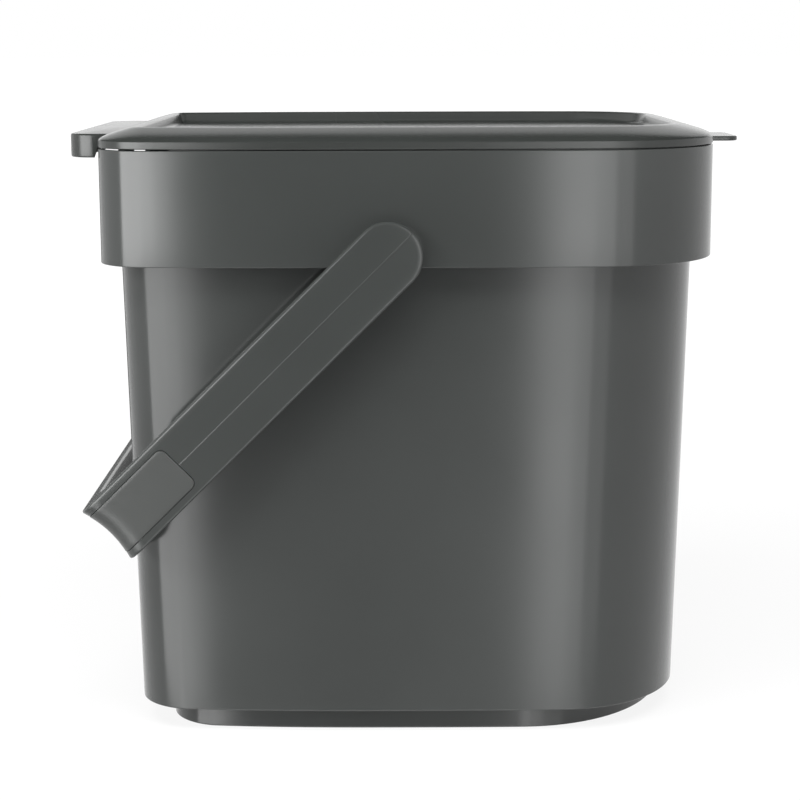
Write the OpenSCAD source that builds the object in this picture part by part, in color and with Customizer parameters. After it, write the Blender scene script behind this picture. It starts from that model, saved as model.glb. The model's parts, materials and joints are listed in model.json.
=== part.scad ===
// Compost caddy with a hinged lid and a swinging strap handle.
// X runs from the hinge (rear, -X) to the thumb tab (front, +X), Y across, Z up.
// The origin lies on the floor, under the middle of the overall length and width.

/* [Collar] */
// Length of the collar along X
collar_l = 250; // [220:1:280]
// Width of the collar across its bowed sides
collar_w = 200; // [180:1:220]
// Height of the collar's top rim above the floor
rim_z = 240.5; // [215:0.5:270]
// Height of the collar
collar_h = 45.7; // [40:0.1:60]
// Wall thickness of the collar
collar_wall = 2.2; // [1.8:0.1:3]
// Plan radius of the two rear corners
rear_r = 20; // [16:1:28]
// Plan radius of the two front corners
front_r = 49; // [40:1:58]
// How much the long sides fall away from their middle to their ends
side_bow = 5.8; // [0:0.1:8]
// Power of that bow: the higher it is, the flatter the sides' middle
bow_power = 3; // [2:0.5:4]
// Depth of the collar's inner shelf below the rim
shelf_drop = 10.5; // [9.5:0.1:14]
// Height of the lip that pins a liner inside the bucket's mouth
lip_h = 8; // [4:0.5:14]
// Depth of the two light slots in the collar's rear wall
slot_depth = 9; // [4:0.1:9]
// Length of each light slot
slot_l = 56; // [40:1:58]

/* [Bucket] */
// How far the collar stands out from the bucket at the collar's lower edge
collar_step = 7.3; // [5:0.1:10]
// How much the bucket narrows, each side, from the collar's edge to its base
draft = 4; // [1:0.1:8]
// Wall thickness of the bucket
bucket_wall = 2.2; // [1.6:0.1:3]
// Height of the foot under the bucket's lower edge
foot_h = 9.3; // [6:0.1:14]
// Distance that the foot stands in from the bucket's base at the sides
foot_inset = 6; // [4:0.5:12]
// Distance that the foot stands in at the rear end
foot_inset_rear = 12.4; // [6:0.1:20]
// Distance that the foot stands in at the front end
foot_inset_front = 4.5; // [3:0.5:10]
// Plan radius of the foot's front corners
foot_front_r = 62; // [50:1:66]
// Width of the ring that the foot stands on
foot_ring = 7; // [4:0.5:12]
// Depth of the panel inside that ring
foot_recess = 1.2; // [0.6:0.1:2]
// Width of the rim flange that the collar sits on
flange_w = 3.4; // [2:0.1:4.4]

/* [Lid] */
// Height of the lid's upright edge band
band_h = 2.9; // [2:0.1:4]
// Gap between the lid's edge and the collar's rim
lid_gap = 0.45; // [0.3:0.05:1]
// Rise of the lid's rounded border above its edge band
crest_rise = 5.2; // [4:0.1:8]
// Distance from the lid's edge to the top of its border
crest_inset = 14; // [10:0.5:18]
// Depth of the panel inside the border
panel_depth = 4.8; // [3:0.1:5]
// Wall thickness of the lid
lid_wall = 2.2; // [1.8:0.1:2.6]
// Depth of the locating rib under the lid, below the rim
rib_depth = 4.5; // [3:0.1:6]
// Thickness of the locating rib
rib_t = 1.6; // [1.2:0.1:2]
// Width of the thumb tab
tab_w = 38; // [26:1:60]
// How far the thumb tab stands out from the lid
tab_reach = 15.6; // [8:0.1:16]
// Thickness of the thumb tab
tab_t = 2; // [1.6:0.1:2.6]
// Height of the thumb tab's top above the lid's lower edge
tab_rise = 0.95; // [0.8:0.05:1.6]
// Plan radius of the thumb tab's corners
tab_r = 5; // [2:0.5:8]

/* [Hinge] */
// Width of the hinge cover
cover_w = 132.8; // [120:0.2:140]
// How far the hinge cover stands out behind the collar
cover_reach = 13.7; // [11.5:0.1:14.5]
// Height of the hinge cover's skirt
cover_h = 9.6; // [7.5:0.1:10]
// Top of the hinge cover above the lid's edge band
cover_rise = 2; // [1:0.1:2.4]
// Wall thickness of the hinge cover
cover_wall = 2; // [1.6:0.1:2.2]
// Plan radius of the hinge cover's corners
cover_r = 10; // [6:0.5:12]
// How far the lower edge of the cover's ends stands clear of the collar
cover_slant = 3.5; // [2:0.1:5]
// Radius of the hinge knuckles
knuckle_r = 3.5; // [3:0.1:3.6]
// Width of the collar's middle knuckle
mid_knuckle_w = 32; // [20:1:36]
// Width of each of the lid's two knuckles
side_knuckle_w = 27; // [16:1:34]
// Radius of the hinge pin
pin_r = 1.5; // [1:0.1:1.8]

/* [Handle] */
// Distance from the middle of the length back to the handle's pivots
pivot_back = 9; // [0:0.5:20]
// Height of the pivots above the collar's lower edge
pivot_rise = 4.8; // [3:0.1:8]
// Width of the strap arms
arm_w = 27.6; // [24:0.2:30]
// Thickness of the strap arms
arm_t = 5; // [4:0.1:5.4]
// Clearance between each arm and the collar
arm_gap = 0.8; // [0.5:0.1:2]
// How far the handle's outer end stands beyond the bucket's rear wall, along an arm
grip_out = 10.6; // [7:0.1:14]
// Thickness of the grip bar
grip_t = 9; // [8:0.1:11]
// Depth of the trough along the grip bar's outer face
trough_d = 2.3; // [1:0.1:2.5]
// Outer radius where an arm turns into the grip bar
turn_r = 9; // [6:0.5:14]
// Inner radius where an arm turns into the grip bar
gusset_r = 16; // [8:1:20]
// Angle of the stored handle below the horizontal
rest_angle = 44.7; // [40:0.1:46]
// Radius of the pivot studs on the arms
stud_r = 4.45; // [3.5:0.05:5]
// Length of each pivot stud inside its hub
stud_hold = 5.4; // [4:0.1:6]
// Radius of the hubs that carry the studs
hub_r = 8.5; // [7.5:0.1:9]

/* [Grip pad] */
// Width of the grip pad
pad_w = 20.4; // [16:0.2:21]
// Length of the pad along the arms, measured from the handle's outer end
pad_l = 43.3; // [30:0.1:52]
// Thickness of the pad on the arms
pad_t = 1.6; // [1:0.1:2.2]
// Thickness of the pad under the bottom of the trough
pad_bar_t = 2.1; // [1.5:0.1:2.4]
// Radius of the pad's corners
pad_r = 3; // [2:0.5:8]

/* [Fits] */
// Clearance between parts that lie beside each other
side_gap = 0.3; // [0.2:0.05:0.4]
// Radial clearance of the parts that turn
run_gap = 0.05; // [0.02:0.01:0.1]
// Radial clearance of the hinge pin where it is held
hold_gap = 0.02; // [0.01:0.01:0.05]
// Groove left around the grip pad
pad_gap = 0.1; // [0.05:0.05:0.2]
// Clearance between the locating rib and the collar
rib_gap = 0.8; // [0.5:0.1:1.2]

/* [Hidden] */
$fn = 64;
eps = 0.01;
over = 1;
corner_steps = 10;
side_steps = 10;
slope_steps = 6;
arc_steps = 8;

half_l = collar_l / 2;
half_w = collar_w / 2;
collar_z = rim_z - collar_h;
lid_z = rim_z + lid_gap;
band_z = lid_z + band_h;
crest_z = band_z + crest_rise;
panel_z = crest_z - panel_depth;
shelf_z = rim_z - shelf_drop;
shelf_t = 2;
lip_t = 1.6;
body_half_l = half_l - collar_step;
slope = draft / (collar_z - foot_h);
tub_top = shelf_z - shelf_t - side_gap;
flange_t = 2.2;
edge_r = 1.2;

cover_top = band_z + cover_rise;
cover_bottom = cover_top - cover_h;
cover_x = -half_l - cover_reach;
hinge_x = cover_x + cover_wall + side_gap + knuckle_r;
hinge_z = cover_top - cover_wall - 2 * run_gap - side_gap - knuckle_r;
mid_half = mid_knuckle_w / 2;
knuckle_gap = 0.4;
side_from = mid_half + knuckle_gap;
side_to = side_from + side_knuckle_w;

overall_shift = (cover_reach - tab_reach) / 2;
pivot_x = -pivot_back;
pivot_z = collar_z + pivot_rise;
wall_reach = (body_half_l - slope * (collar_z - pivot_z) - pivot_back)
    / (cos(rest_angle) + slope * sin(rest_angle));
handle_reach = wall_reach + grip_out;
arm_in = half_w + arm_gap;
arm_out = arm_in + arm_t;
arm_r = arm_w / 2;
bar_in = handle_reach - grip_t;
trough_r = (arm_r * arm_r + trough_d * trough_d) / (2 * trough_d);
bore_r = stud_r + run_gap;
stud_l = arm_gap + side_gap + stud_hold;
hub_end = half_w - side_gap / 3;
pad_from = handle_reach - pad_l;
pad_floor = handle_reach - trough_d - pad_bar_t;
rest_turn = rest_angle + 90;

// Half width of the bucket, less than at the collar's edge, at a height z.
function wall_in(z) = collar_step + slope * (collar_z - z);

// One plan outline: t is its distance in from the collar's outline all round.
function plan(t) = outline(-half_l + t, half_l - t, half_w - t, rear_r - t, front_r - t);

// The bucket's outline at height z, a further distance t in.
function tub_plan(z, t) =
    let (d = wall_in(z) + t)
    outline(-half_l + d, half_l - d, half_w - d, rear_r - t, front_r - t);

// The foot's outline, a distance t in from its outer face.
function foot_plan(t) =
    let (d = wall_in(foot_h) + t)
    outline(-half_l + foot_inset_rear + d, half_l - foot_inset_front - d, half_w - foot_inset - d,
            rear_r - t, foot_front_r - t);

// A long rounded outline from x0 to x1 with bowed sides, counter-clockwise.
function outline(x0, x1, w, r0, r1) =
    let (mid = (x0 + x1) / 2, half = (x1 - x0) / 2)
    [for (p = concat(corner(x1 - r1, -w + r1, r1, 270), corner(x1 - r1, w - r1, r1, 0),
                     side(x1 - r1, x0 + r0, w), corner(x0 + r0, w - r0, r0, 90),
                     corner(x0 + r0, -w + r0, r0, 180), side(x0 + r0, x1 - r1, -w)))
        [p[0], p[1] - sign(p[1]) * side_bow * pow(abs(p[0] - mid) / half, bow_power)]];
function corner(x, y, r, from) =
    [for (i = [0:corner_steps])
        let (a = from + 90 * i / corner_steps) [x + r * cos(a), y + r * sin(a)]];
function side(x0, x1, y) =
    [for (i = [1:side_steps - 1]) [x0 + (x1 - x0) * i / side_steps, y]];

// Skin over a list of rings [outline, z], closed at both ends by flat caps.
module capped_loft(rings) {
    n = len(rings[0][0]);
    points = [for (r = rings) for (p = r[0]) [p[0], p[1], r[1]]];
    last = n * (len(rings) - 1);
    polyhedron(points, concat(bands(len(rings) - 1, n, n * len(rings)),
        [[for (i = [0:n - 1]) i]], [[for (i = [n - 1:-1:0]) last + i]]));
}

// The same for rings that close on themselves, such as a hoop with a cross-section.
module hoop_loft(rings) {
    n = len(rings[0][0]);
    points = [for (r = rings) for (p = r[0]) [p[0], p[1], r[1]]];
    polyhedron(points, bands(len(rings), n, n * len(rings)));
}
function bands(count, n, total) =
    [for (k = [0:count - 1])
        for (i = [0:n - 1])
            each facet_pair(k * n, ((k + 1) * n) % total, i, (i + 1) % n)];
function facet_pair(a, b, i, j) = [[a + i, b + i, b + j], [a + i, b + j, a + j]];

// A round bar along Y.
module rod(x, z, y0, y1, r) {
    translate([x, y1, z])
        rotate([90, 0, 0])
            cylinder(r = r, h = y1 - y0);
}

// Everything is drawn about the collar's middle, then moved to the origin.
module placed() {
    translate([overall_shift, 0, 0]) children();
}

module both_sides() {
    children();
    mirror([0, 1, 0]) children();
}

// ---- Bucket -------------------------------------------------------------

module tub_shell() {
    floor_z = foot_recess + bucket_wall;
    capped_loft([
        [foot_plan(foot_ring + foot_recess), foot_recess],
        [foot_plan(foot_ring), 0],
        [foot_plan(edge_r), 0],
        [foot_plan(0), edge_r],
        [foot_plan(0), foot_h],
        [tub_plan(foot_h, edge_r), foot_h],
        [tub_plan(foot_h, 0), foot_h + edge_r],
        [tub_plan(tub_top - flange_t, 0), tub_top - flange_t],
        [tub_plan(tub_top - flange_t, -flange_w), tub_top - flange_t],
        [tub_plan(tub_top - flange_t, -flange_w), tub_top],
        [tub_plan(tub_top, bucket_wall), tub_top],
        [tub_plan(foot_h + bucket_wall, bucket_wall), foot_h + bucket_wall],
        [foot_plan(bucket_wall), foot_h + bucket_wall],
        [foot_plan(bucket_wall), floor_z],
    ]);
}

module hub() {
    wall_y = half_w - wall_in(pivot_z);
    difference() {
        rod(pivot_x, pivot_z, wall_y - bucket_wall / 2, hub_end, hub_r);
        rod(pivot_x, pivot_z, arm_in - stud_l - side_gap, hub_end + over, bore_r);
    }
}

module bucket() {
    color([0.25, 0.26, 0.26])
        placed() {
            tub_shell();
            both_sides() hub();
        }
}

// ---- Collar -------------------------------------------------------------

module collar_shell() {
    hoop_loft([
        [plan(edge_r), collar_z],
        [plan(0), collar_z + edge_r],
        [plan(0), rim_z - edge_r / 2],
        [plan(edge_r / 2), rim_z],
        [plan(collar_wall), rim_z],
        [plan(collar_wall), shelf_z],
        [tub_plan(shelf_z, bucket_wall + side_gap + lip_t), shelf_z],
        [tub_plan(shelf_z, bucket_wall + side_gap + lip_t), tub_top - lip_h],
        [tub_plan(tub_top - lip_h, bucket_wall + side_gap), tub_top - lip_h],
        [tub_plan(shelf_z - shelf_t, bucket_wall + side_gap), shelf_z - shelf_t],
        [plan(collar_wall), shelf_z - shelf_t],
        [plan(collar_wall), collar_z],
    ]);
}

// Cut-out that lets the collar drop over a bucket hub.
module hub_notch() {
    r = hub_r + side_gap;
    from = half_w - collar_wall - over;
    rod(pivot_x, pivot_z, from, half_w + over, r);
    translate([pivot_x - r, from, collar_z - over])
        cube([2 * r, collar_wall + 2 * over, pivot_z - collar_z + over]);
}

module light_slot() {
    beside_knuckle = 2;
    translate([-half_l - over, mid_half + beside_knuckle, rim_z - slot_depth])
        cube([collar_wall + 2 * over, slot_l, slot_depth + over]);
}

module mid_knuckle() {
    web_low = hinge_z - 2.3;
    web_top = rim_z - edge_r / 2;
    rod(hinge_x, hinge_z, -mid_half, mid_half, knuckle_r);
    translate([hinge_x, -mid_half, web_low])
        cube([-half_l + collar_wall / 2 - hinge_x, mid_knuckle_w, web_top - web_low]);
}

module rim_collar() {
    color([0.26, 0.27, 0.27])
        placed() difference() {
            union() {
                collar_shell();
                mid_knuckle();
            }
            both_sides() hub_notch();
            both_sides() light_slot();
            rod(hinge_x, hinge_z, -mid_half - over, mid_half + over, pin_r + hold_gap);
        }
}

// ---- Lid ----------------------------------------------------------------

// The rounded border is a quarter of an ellipse in section.
function slope_ring(i) =
    let (a = 90 * i / slope_steps)
    [plan(crest_inset * (1 - cos(a))), band_z + crest_rise * sin(a)];
function under_ring(i) =
    let (a = 90 * i / slope_steps, run = crest_inset - lid_wall)
    [plan(lid_wall + run * (1 - cos(a))), band_z + (crest_rise - lid_wall) * sin(a)];

module lid_shell() {
    wall_top = 2.4;
    wall_foot = 3.6;
    panel_under = panel_z - lid_wall;
    capped_loft(concat(
        [[plan(crest_inset + wall_foot - lid_wall), panel_under]],
        [for (i = [slope_steps:-1:0]) under_ring(i)],
        [[plan(lid_wall), lid_z], [plan(0), lid_z]],
        [for (i = [0:slope_steps]) slope_ring(i)],
        [[plan(crest_inset + wall_top), crest_z - edge_r / 2],
         [plan(crest_inset + wall_foot), panel_z]]));
}

// Locating rib, cut away at the hinge end so that the lid can swing.
module locating_rib() {
    outer = collar_wall + rib_gap;
    inner = outer + rib_t;
    low = rim_z - rib_depth;
    high = band_z + crest_rise / 4;
    cut_l = 30;
    difference() {
        hoop_loft([
            [plan(outer), low],
            [plan(outer), high],
            [plan(inner), high],
            [plan(inner), low],
        ]);
        translate([-half_l, -half_w, low - over])
            cube([cut_l, collar_w, high - low + 2 * over]);
    }
}

module thumb_tab() {
    from = half_l + side_gap;
    flat_l = tab_reach - side_gap - tab_r;
    top = lid_z + tab_rise;
    translate([from, -tab_w / 2, top - tab_t])
        linear_extrude(tab_t)
            union() {
                square([flat_l, tab_w]);
                translate([0, tab_r])
                    square([flat_l + tab_r, tab_w - 2 * tab_r]);
                for (y = [tab_r, tab_w - tab_r])
                    translate([flat_l, y])
                        circle(tab_r);
            }
    translate([half_l - lid_wall / 2, -tab_w / 2, lid_z + eps])
        cube([lid_wall, tab_w, tab_rise - eps]);
}

// Plan of the hinge cover, a distance t in from its outer face.
function cover_plan(t) =
    let (x = cover_x + t, y = cover_w / 2 - t, r = cover_r - t)
    concat([[-half_l + crest_inset / 6, -y], [-half_l + crest_inset / 6, y]],
           corner(x + r, y - r, r, 90), corner(x + r, -y + r, r, 180));

module hinge_cover() {
    inner_h = cover_h - cover_wall;
    inner_top = cover_top - cover_wall;
    low = cover_bottom - over;
    difference() {
        translate([0, 0, cover_bottom])
            linear_extrude(cover_h)
                polygon(cover_plan(0));
        translate([0, 0, low])
            linear_extrude(inner_h + over)
                polygon(cover_plan(cover_wall));
        translate([0, cover_w / 2 + over, 0])
            rotate([90, 0, 0])
                linear_extrude(cover_w + 2 * over)
                    polygon([[-half_l - cover_slant, low], [-half_l - side_gap, inner_top],
                             [-half_l + crest_inset, inner_top], [-half_l + crest_inset, low]]);
    }
}

module side_knuckle() {
    rod(hinge_x, hinge_z, side_from, side_to, knuckle_r);
    translate([hinge_x - knuckle_r, side_from, hinge_z])
        cube([2 * knuckle_r, side_knuckle_w, cover_top - cover_wall / 2 - hinge_z]);
}

// Small feet that the closed lid rests on, at the front of the rim.
module rest_pads() {
    rest_w = 6;
    sunk = 0.3;
    for (y = [-front_r / 2, front_r / 2])
        translate([half_l - collar_wall + side_gap, y - rest_w / 2, rim_z])
            cube([collar_wall - 2 * side_gap, rest_w, lid_gap + sunk]);
}

module lid() {
    color([0.26, 0.27, 0.27])
        placed() difference() {
            union() {
                lid_shell();
                locating_rib();
                thumb_tab();
                hinge_cover();
                both_sides() side_knuckle();
                rest_pads();
            }
            rod(hinge_x, hinge_z, -side_to - over, side_to + over, pin_r + run_gap);
        }
}

// ---- Hinge pin ----------------------------------------------------------

module hinge_pin() {
    color([0.7, 0.7, 0.72])
        placed() rod(hinge_x, hinge_z, -side_to - over, side_to + over, pin_r);
}

// ---- Handle -------------------------------------------------------------
// The handle is drawn upright over its pivots, then laid back to its rest.

function arc_points(x, y, r, from, to) =
    [for (i = [0:arc_steps])
        let (a = from + (to - from) * i / arc_steps) [x + r * cos(a), y + r * sin(a)]];

// Side view of the strap: a round pivot end, straight edges and a hollow outer end.
module strap_side() {
    end_r = 1.6;
    end_turn = 60;
    end_drop = 0.4;
    end_x = arm_r - end_r;
    end_y = handle_reach - end_drop - end_r;
    centre = handle_reach - trough_d + trough_r;
    half_angle = asin(end_x / trough_r);
    polygon(concat(
        arc_points(0, 0, arm_r, 180, 360),
        arc_points(end_x, end_y, end_r, 0, end_turn),
        arc_points(0, centre, trough_r, 270 + half_angle, 270 - half_angle),
        arc_points(-end_x, end_y, end_r, 180 - end_turn, 180)));
}

// End view of the bail: outside of the arms and bar, and the space between them.
module arch(half, top, r, low) {
    polygon(concat([[-half, low], [half, low]],
        arc_points(half - r, top - r, r, 0, 90),
        arc_points(-half + r, top - r, r, 90, 180)));
}

module along_y() {
    translate([0, arm_out + over, 0])
        rotate([90, 0, 0])
            linear_extrude(2 * arm_out + 2 * over)
                children();
}

module along_x(w) {
    translate([-w / 2, 0, 0])
        rotate([90, 0, 90])
            linear_extrude(w)
                children();
}

module bail_blank() {
    intersection() {
        along_y() strap_side();
        along_x(arm_w + 2 * over)
            difference() {
                arch(arm_out, handle_reach, turn_r, -arm_w);
                arch(arm_in, bar_in, gusset_r, -arm_w - over);
            }
    }
}

// The band of the bail that the grip pad fills, grown by g all round.
module pad_space(g) {
    w = pad_w + 2 * g;
    from = pad_from - g;
    intersection() {
        along_x(w)
            difference() {
                arch(arm_out + g, handle_reach + g, turn_r, from);
                arch(arm_out - pad_t, pad_floor, turn_r - pad_t, from - over);
            }
        along_y()
            polygon(concat(
                arc_points(w / 2 - pad_r, from + pad_r, pad_r, 270, 360),
                [[w / 2, handle_reach + over], [-w / 2, handle_reach + over]],
                arc_points(-w / 2 + pad_r, from + pad_r, pad_r, 180, 270)));
    }
}

module laid_back() {
    translate([pivot_x, 0, pivot_z])
        rotate([0, -rest_turn, 0])
            children();
}

// Space that the bucket's rear end takes at the stored handle's height.
module bucket_space() {
    top = pivot_z - (bar_in - gusset_r) * sin(rest_angle) + arm_w;
    linear_extrude(top)
        polygon(tub_plan(top, -side_gap));
}

module handle() {
    color([0.27, 0.28, 0.28])
        placed() {
            difference() {
                laid_back()
                    difference() {
                        bail_blank();
                        pad_space(pad_gap);
                    }
                bucket_space();
            }
            both_sides()
                rod(pivot_x, pivot_z, arm_in - stud_l, arm_in + arm_t / 2, stud_r);
        }
}

module grip_pad() {
    color([0.33, 0.34, 0.335])
        placed() difference() {
            laid_back()
                intersection() {
                    pad_space(0);
                    along_y() strap_side();
                    along_x(arm_w)
                        arch(arm_out, handle_reach, turn_r, 0);
                }
            bucket_space();
        }
}

bucket();
rim_collar();
lid();
hinge_pin();
handle();
grip_pad();
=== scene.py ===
"""Looks of the compost caddy: smooth moulded shells, a soft grip and a plain soft-lit studio."""

import json
import math

import bmesh
import bpy
import numpy as np
from mathutils import Matrix, Vector


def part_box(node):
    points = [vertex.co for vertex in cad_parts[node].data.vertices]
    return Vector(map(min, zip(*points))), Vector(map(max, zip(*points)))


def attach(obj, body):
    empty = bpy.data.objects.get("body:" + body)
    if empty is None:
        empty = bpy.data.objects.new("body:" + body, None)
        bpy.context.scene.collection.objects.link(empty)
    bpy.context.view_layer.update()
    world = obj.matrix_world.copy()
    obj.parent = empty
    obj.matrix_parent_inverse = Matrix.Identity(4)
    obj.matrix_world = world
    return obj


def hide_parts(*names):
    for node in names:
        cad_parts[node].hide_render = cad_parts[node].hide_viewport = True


MM = 0.001
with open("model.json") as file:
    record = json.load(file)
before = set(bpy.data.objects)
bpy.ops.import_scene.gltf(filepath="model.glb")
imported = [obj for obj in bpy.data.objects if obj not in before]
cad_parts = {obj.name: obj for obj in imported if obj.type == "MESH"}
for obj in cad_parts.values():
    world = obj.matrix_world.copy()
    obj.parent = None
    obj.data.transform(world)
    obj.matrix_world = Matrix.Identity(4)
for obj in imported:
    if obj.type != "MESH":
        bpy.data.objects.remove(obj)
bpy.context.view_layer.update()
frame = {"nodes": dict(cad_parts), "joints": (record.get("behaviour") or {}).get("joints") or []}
joints = {joint["name"]: joint for joint in frame["joints"]}


def place_of(name):
    """X and Z of a joint's axis, in millimetres."""
    pos = joints[name]["pos_m"]
    return pos[0] / MM, pos[2] / MM


def box_mm(node):
    """Lowest and highest corner of a node at rest, in millimetres."""
    low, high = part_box(node)
    return low / MM, high / MM


# ---- Sizes, in millimetres ---------------------------------------------------
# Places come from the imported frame, and sizes that the frame doesn't name are here.

collar_low, collar_high = box_mm("rim_collar")
bucket_high = box_mm("bucket")[1]
lid_low, lid_high = box_mm("lid")
handle_high = box_mm("handle")[1]
hinge_x, hinge_z = place_of("lid_hinge")
pivot_x, pivot_z = place_of("handle_swing")

HALF_L = 125.0
HALF_W = collar_high.y
MID_X = collar_high.x - HALF_L
RIM_Z = 240.5
COLLAR_Z = collar_low.z
COLLAR_WALL = 2.2
REAR_R = 20.0
FRONT_R = 49.0
SIDE_BOW = 5.8
BOW_POWER = 3
SHELF_Z = RIM_Z - 10.5
SHELF_T = 2.0
LIP_T = 1.6
LIP_H = 8.0
SLOT_DEPTH = 9.0
SLOT_L = 56.0

COLLAR_STEP = 7.3
DRAFT = 4.0
BUCKET_WALL = 2.2
FOOT_H = 9.3
FOOT_INSET = 6.0
FOOT_INSET_REAR = 12.4
FOOT_INSET_FRONT = 4.5
FOOT_FRONT_R = 62.0
FOOT_RING = 7.0
FOOT_RECESS = 1.2
FLANGE_W = 3.4
FLANGE_T = 2.2
TUB_TOP = bucket_high.z
SLOPE = DRAFT / (COLLAR_Z - FOOT_H)

LID_Z = RIM_Z + 0.45
BAND_Z = LID_Z + 2.9
CREST_Z = lid_high.z
PANEL_Z = CREST_Z - 4.8
CREST_INSET = 14.0
LID_WALL = 2.2
RIB_T = 1.6
RIB_DEPTH = 4.5
RIB_GAP = 0.8
RIB_CUT = 30.0
TAB_W = 38.0
TAB_T = 2.0
TAB_R = 5.0
TAB_TOP = LID_Z + 0.95

COVER_W = 132.8
COVER_TOP = BAND_Z + 2.0
COVER_H = 9.6
COVER_WALL = 2.0
COVER_R = 10.0
COVER_SLANT = 3.5
COVER_X = lid_low.x - MID_X
KNUCKLE_R = 3.5
MID_KNUCKLE = 16.0
WEB_DROP = 2.3
WEB_TOP = RIM_Z - 0.6
SIDE_FROM = 16.4
SIDE_TO = 43.4

ARM_OUT = handle_high.y
ARM_T = 5.0
ARM_IN = ARM_OUT - ARM_T
ARM_R = 13.8
REST_ANGLE = 44.7
GRIP_OUT = 10.6
GRIP_T = 9.0
TROUGH_D = 2.3
TURN_R = 9.0
GUSSET_R = 16.0
STUD_R = 4.45
STUD_L = 6.5
HUB_R = 8.5
PAD_HALF = 10.2
PAD_L = 43.3
PAD_R = 3.0
PAD_T = 1.6
SIDE_GAP = 0.3
RUN_GAP = 0.05

CORNER_STEPS = 22
SIDE_STEPS = 34
SMOOTH_ANGLE = math.radians(34)


# ---- Outlines ----------------------------------------------------------------

def corner(x, y, r, start, steps=CORNER_STEPS, sweep=90.0):
    """Points along a round corner about (x, y), from an angle in degrees."""
    turn = np.radians(start + np.linspace(0, sweep, steps + 1))
    return np.column_stack([x + r * np.cos(turn), y + r * np.sin(turn)])


def ring(p):
    """A closed outline. p: insets of rear, front and sides, both radii and the height."""
    rear, front, side, r0, r1, z = p
    x0, x1, w = -HALF_L + rear, HALF_L - front, HALF_W - side
    along = np.linspace(x1 - r1, x0 + r0, SIDE_STEPS + 1)[1:-1]
    far = np.column_stack([along, np.full(len(along), w)])
    points = np.vstack([
        corner(x1 - r1, -w + r1, r1, 270), corner(x1 - r1, w - r1, r1, 0), far,
        corner(x0 + r0, w - r0, r0, 90), corner(x0 + r0, -w + r0, r0, 180),
        far[::-1] * [1, -1],
    ])
    middle, half = (x0 + x1) / 2, (x1 - x0) / 2
    bow = SIDE_BOW * np.abs((points[:, 0] - middle) / half) ** BOW_POWER
    points[:, 1] -= np.sign(points[:, 1]) * bow
    return np.column_stack([points, np.full(len(points), z)])


def rim_at(t, z):
    """Collar and lid outline, a distance t in from the collar's face."""
    return np.array([t, t, t, REAR_R - t, FRONT_R - t, z])


def wall_in(z):
    """How far the bucket's wall lies inside the collar's face at a height."""
    return COLLAR_STEP + SLOPE * (COLLAR_Z - z)


def tub_at(t, z):
    """Bucket outline at a height, a distance t in from its outer face."""
    d = wall_in(z) + t
    return np.array([d, d, d, REAR_R - t, FRONT_R - t, z])


def foot_at(t, z):
    """Foot outline, a distance t in from its outer face."""
    d = wall_in(FOOT_H) + t
    return np.array([FOOT_INSET_REAR + d, FOOT_INSET_FRONT + d, FOOT_INSET + d,
                     REAR_R - t, FOOT_FRONT_R - t, z])


def soften(profile, closed=False, steps=5):
    """Rounds the corners of a profile of (point, radius) pairs with short curves."""
    points = [np.asarray(p, float) for p, _ in profile]
    count = len(points)
    result = []
    for i, (here, (_, radius)) in enumerate(zip(points, profile)):
        inner = closed or 0 < i < count - 1
        if radius <= 0 or not inner:
            result.append(here)
            continue
        ends = []
        for other in (points[i - 1], points[(i + 1) % count]):
            leg = other - here
            length = np.hypot(leg[2], leg[-1])
            ends.append(here + leg * min(radius / length, 0.48))
        for u in np.linspace(0, 1, steps + 1):
            result.append((1 - u) ** 2 * ends[0] + 2 * u * (1 - u) * here + u * u * ends[1])
    return result


# ---- Mesh making ---------------------------------------------------------------

def placed(name, data):
    """A new object in the scene that holds a mesh or a lamp."""
    obj = bpy.data.objects.new(name, data)
    bpy.context.scene.collection.objects.link(obj)
    return obj


def smoothed(mesh, sharp=SMOOTH_ANGLE):
    """Shades a mesh smooth, but for edges that are sharper than an angle."""
    mesh.shade_smooth()
    mesh.set_sharp_from_angle(angle=sharp)
    return mesh


def add_mesh(name, points, faces, sharp=SMOOTH_ANGLE, shift=(MID_X, 0, 0)):
    """A smooth-shaded object from points in millimetres, with outward faces and crisp edges."""
    mesh = bpy.data.meshes.new(name)
    co = (np.asarray(points, float) + np.asarray(shift, float)) * MM
    mesh.from_pydata(co.tolist(), [], [list(map(int, f)) for f in faces])
    bm = bmesh.new()
    bm.from_mesh(mesh)
    bmesh.ops.remove_doubles(bm, verts=bm.verts, dist=1e-6)
    bmesh.ops.dissolve_degenerate(bm, dist=1e-7, edges=bm.edges)
    bmesh.ops.recalc_face_normals(bm, faces=bm.faces)
    bm.to_mesh(mesh)
    bm.free()
    return placed(name, smoothed(mesh, sharp))


def skin(rings, closed=False, capped=True):
    """Points and faces of a skin over equal rings: a hoop if closed, else capped at both ends."""
    rings = [np.asarray(r) for r in rings]
    n, count = len(rings[0]), len(rings)
    points = np.vstack(rings)
    faces = []
    for k in range(count if closed else count - 1):
        a, b = k * n, ((k + 1) % count) * n
        faces += [(a + i, a + (i + 1) % n, b + (i + 1) % n, b + i) for i in range(n)]
    if capped and not closed:
        faces.append(tuple(range(n))[::-1])
        faces.append(tuple(range((count - 1) * n, count * n)))
    return points, faces


def loft(name, profile, closed=False, steps=5):
    """A shell or hoop over a softened profile of outlines."""
    points, faces = skin([ring(p) for p in soften(profile, closed, steps)], closed)
    return add_mesh(name, points, faces)


def lathe_y(name, x, z, profile, steps=64):
    """A turned piece about an axis along Y. The profile is a list of (radius, y)."""
    turn = np.radians(np.linspace(0, 360, steps, endpoint=False))
    rings = [np.column_stack([x + r * np.cos(turn), np.full(steps, y), z + r * np.sin(turn)])
             for r, y in profile]
    points, faces = skin(rings)
    return add_mesh(name, points, faces, shift=(0, 0, 0))


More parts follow.
